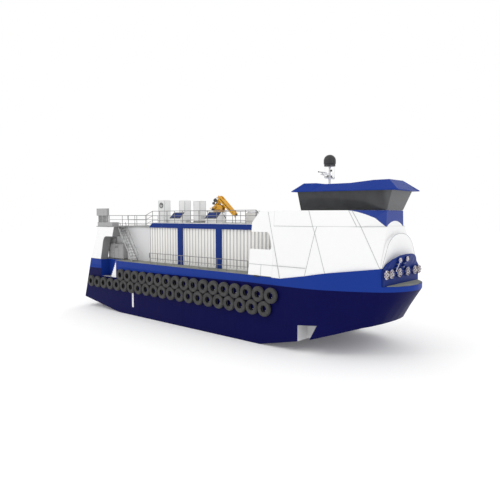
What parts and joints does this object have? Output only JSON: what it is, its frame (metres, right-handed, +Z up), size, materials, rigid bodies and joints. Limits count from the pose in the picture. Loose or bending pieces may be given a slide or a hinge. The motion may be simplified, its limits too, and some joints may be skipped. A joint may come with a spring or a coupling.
{
  "type": "aquaculture feed barge",
  "caption": "Self-contained feed barge with a silo block, deckhouse and wheelhouse, folding crane, hatches, tyre fenders and feed outlets at the bow.",
  "frame": {"origin": "middle of the bounding box in plan, on the flat bottom of the hull", "axes": "+X to the bow, +Y to port, +Z up"},
  "size_m": [32.2, 9.316, 13.09],
  "materials": {
    "navy_paint": "satin",
    "blue_paint": "satin",
    "white_paint": "satin",
    "grey_paint": "matt",
    "deck_paint": "anti-slip",
    "galvanised_rail": "galvanised",
    "tyre_rubber": "matt",
    "silo_sheet": "satin",
    "tinted_glass": "gloss",
    "crane_paint": "satin",
    "cylinder_rod": "polished",
    "dark_fitting": "satin",
    "outlet_pipe": "satin"
  },
  "bodies": {
    "barge": {"hull": "navy_paint", "upper_hull": "blue_paint", "main_deck": "deck_paint", "foredeck": "deck_paint", "boarding_steps_stbd": "white_paint", "boarding_steps_port": "white_paint", "tyre_fenders_stbd": "tyre_rubber", "tyre_fenders_port": "tyre_rubber", "silo_block": "silo_sheet", "silo_frame_stbd": "blue_paint", "silo_frame_port": "blue_paint", "silo_top_deck": "deck_paint", "aft_house": "white_paint", "aft_wing_stbd": "white_paint", "aft_wing_port": "white_paint", "aft_upper_deck": "deck_paint", "deck_stair_stbd": "grey_paint", "deck_stair_port": "grey_paint", "side_locker_stbd": "grey_paint", "side_locker_port": "grey_paint", "vent_box": "grey_paint", "top_rail_stbd": "galvanised_rail", "top_rail_port": "galvanised_rail", "aft_rail": "galvanised_rail", "walkway_rail_stbd": "galvanised_rail", "walkway_rail_port": "galvanised_rail", "deckhouse": "white_paint", "parapet": "white_paint", "nose_panel": "white_paint", "bow_hood": "blue_paint", "feed_outlets": "outlet_pipe", "wheelhouse_walls": "white_paint", "wheelhouse_glass": "tinted_glass", "wheelhouse_roof": "blue_paint", "helm_console": "dark_fitting", "helm_chair": "dark_fitting", "mast": "white_paint", "mast_dome": "dark_fitting", "deck_cabinet_1": "white_paint", "deck_cabinet_2": "white_paint", "deck_cabinet_3": "white_paint", "crane_pedestal": "white_paint"},
    "crane_column": {"crane_column": "crane_paint"},
    "main_boom": {"crane_main_boom": "crane_paint"},
    "outer_boom": {"crane_outer_boom": "crane_paint"},
    "lift_cylinder": {"lift_cylinder": "crane_paint"},
    "lift_rod": {"lift_rod": "cylinder_rod"},
    "fold_cylinder": {"fold_cylinder": "crane_paint"},
    "fold_rod": {"fold_rod": "cylinder_rod"},
    "radar_scanner": {"radar_scanner": "white_paint"},
    "aft_door": {"aft_door": "white_paint"},
    "wheelhouse_door": {"wheelhouse_door": "white_paint"},
    "house_door_stbd": {"house_door_stbd": "white_paint"},
    "house_door_port": {"house_door_port": "white_paint"},
    "hatch_lid_stbd_1": {"hatch_lid_stbd_1": "blue_paint"},
    "hatch_lid_stbd_2": {"hatch_lid_stbd_2": "blue_paint"},
    "hatch_lid_port_1": {"hatch_lid_port_1": "blue_paint"},
    "hatch_lid_port_2": {"hatch_lid_port_2": "blue_paint"}
  },
  "joints": [
    {"name": "crane_slew", "type": "hinge", "parent": "barge", "child": "crane_column", "pos_m": [-1.5, 0, 9.2], "axis": [0, 0, 1], "range_deg": [-170, 170]},
    {"name": "main_boom_lift", "type": "hinge", "parent": "crane_column", "child": "main_boom", "pos_m": [-1.74, 0, 9.66], "axis": [0, -1, 0], "range_deg": [0, 40]},
    {"name": "outer_boom_fold", "type": "hinge", "parent": "main_boom", "child": "outer_boom", "pos_m": [-1.3, 0, 10.33], "axis": [0, -1, 0], "range_deg": [0, 55]},
    {"name": "lift_cylinder_pin", "type": "hinge", "parent": "crane_column", "child": "lift_cylinder", "pos_m": [-1.12, 0, 9.4], "axis": [0, -1, 0], "range_deg": [-0.2, 8.31]},
    {"name": "lift_rod_stroke", "type": "slide", "parent": "lift_cylinder", "child": "lift_rod", "axis": [-0.4571, 0, 0.8894], "range_m": [-0.001, 0.2857]},
    {"name": "fold_cylinder_pin", "type": "hinge", "parent": "main_boom", "child": "fold_cylinder", "pos_m": [-1.88, 0, 9.812], "axis": [0, -1, 0], "range_deg": [-0.2, 2.79]},
    {"name": "fold_rod_stroke", "type": "slide", "parent": "fold_cylinder", "child": "fold_rod", "axis": [0.5914, 0, 0.8064], "range_m": [-0.1744, 0.001]},
    {"name": "hatch_stbd_1_hinge", "type": "hinge", "parent": "barge", "child": "hatch_lid_stbd_1", "pos_m": [-4.04, -2.2742, 9.1053], "axis": [-1, 0, 0], "range_deg": [0, 100]},
    {"name": "hatch_stbd_2_hinge", "type": "hinge", "parent": "barge", "child": "hatch_lid_stbd_2", "pos_m": [0.34, -2.2742, 9.1053], "axis": [-1, 0, 0], "range_deg": [0, 100]},
    {"name": "house_door_stbd_hinge", "type": "hinge", "parent": "barge", "child": "house_door_stbd", "pos_m": [7.788, -3.252, 5.762], "axis": [0, 0, -1], "range_deg": [0, 90]},
    {"name": "hatch_port_1_hinge", "type": "hinge", "parent": "barge", "child": "hatch_lid_port_1", "pos_m": [-4.04, 2.2742, 9.1053], "axis": [1, 0, 0], "range_deg": [0, 100]},
    {"name": "hatch_port_2_hinge", "type": "hinge", "parent": "barge", "child": "hatch_lid_port_2", "pos_m": [0.34, 2.2742, 9.1053], "axis": [1, 0, 0], "range_deg": [0, 100]},
    {"name": "house_door_port_hinge", "type": "hinge", "parent": "barge", "child": "house_door_port", "pos_m": [7.788, 3.252, 5.762], "axis": [0, 0, 1], "range_deg": [0, 90]},
    {"name": "aft_door_hinge", "type": "hinge", "parent": "barge", "child": "aft_door", "pos_m": [-13.812, -0.408, 5.78], "axis": [0, 0, 1], "range_deg": [0, 100]},
    {"name": "wheelhouse_door_hinge", "type": "hinge", "parent": "barge", "child": "wheelhouse_door", "pos_m": [9.043, -0.368, 9.2], "axis": [0, 0, 1], "range_deg": [0, 100]},
    {"name": "radar_turn", "type": "hinge", "parent": "barge", "child": "radar_scanner", "pos_m": [8.95, 0, 11.86], "axis": [0, 0, 1], "continuous": true}
  ],
  "couplings": [
    {"joint": "lift_cylinder_pin", "follows": "main_boom_lift", "ratio": 0.20275},
    {"joint": "lift_rod_stroke", "follows": "main_boom_lift", "m_per_rad": 0.40782},
    {"joint": "fold_cylinder_pin", "follows": "outer_boom_fold", "ratio": 0.04708},
    {"joint": "fold_rod_stroke", "follows": "outer_boom_fold", "m_per_rad": -0.1806}
  ]
}
